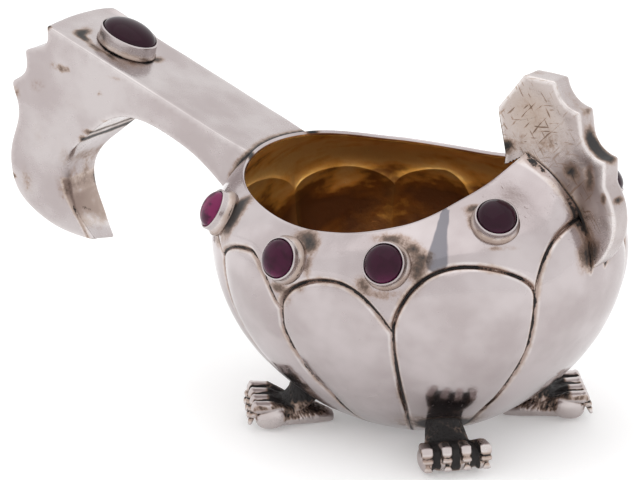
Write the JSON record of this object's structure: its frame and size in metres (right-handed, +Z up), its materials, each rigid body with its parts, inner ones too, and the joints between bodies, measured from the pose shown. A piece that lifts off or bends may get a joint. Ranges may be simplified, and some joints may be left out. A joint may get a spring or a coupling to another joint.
{
  "type": "silver bowl",
  "caption": "Small oval footed bowl in sheet silver with petal-chased sides, a hooked hollow handle, a scalloped prow fin, cast paw feet and domed dark stones round the rim.",
  "frame": {"origin": "under the middle of the bounding box, on the table that the feet stand on", "axes": "+X towards the prow fin, along the handle's line; +Z up; +Y to the left of someone who faces along +X"},
  "size_m": [0.1672, 0.0897, 0.086],
  "materials": {
    "bowl_silver": "polished silver, oxidised in the grooves, gilt inside",
    "sheet_silver": "polished silver sheet, soldered, with patina in the hollows",
    "cast_silver": "cast silver, chased, blackened in the recesses",
    "bezel_silver": "polished silver collar",
    "stone": "polished dark red-violet cabochon"
  },
  "bodies": {
    "root": {"bowl": "bowl_silver", "handle_top_plate": "sheet_silver", "handle_back_strip": "sheet_silver", "handle_arch_strip": "sheet_silver", "handle_hook_strip": "sheet_silver", "handle_cheek_left": "sheet_silver", "handle_cheek_right": "sheet_silver", "prow_cheek_left": "sheet_silver", "prow_cheek_right": "sheet_silver", "prow_edge_strip": "sheet_silver", "foot_fore_left": "cast_silver", "foot_fore_right": "cast_silver", "foot_tail_left": "cast_silver", "foot_tail_right": "cast_silver", "bezel_prow_left": "bezel_silver", "stone_prow_left": "stone", "bezel_prow_right": "bezel_silver", "stone_prow_right": "stone", "bezel_fore_left": "bezel_silver", "stone_fore_left": "stone", "bezel_fore_right": "bezel_silver", "stone_fore_right": "stone", "bezel_mid_left": "bezel_silver", "stone_mid_left": "stone", "bezel_mid_right": "bezel_silver", "stone_mid_right": "stone", "bezel_tail_left": "bezel_silver", "stone_tail_left": "stone", "bezel_tail_right": "bezel_silver", "stone_tail_right": "stone", "bezel_handle": "bezel_silver", "stone_handle": "stone"}
  },
  "joints": []
}
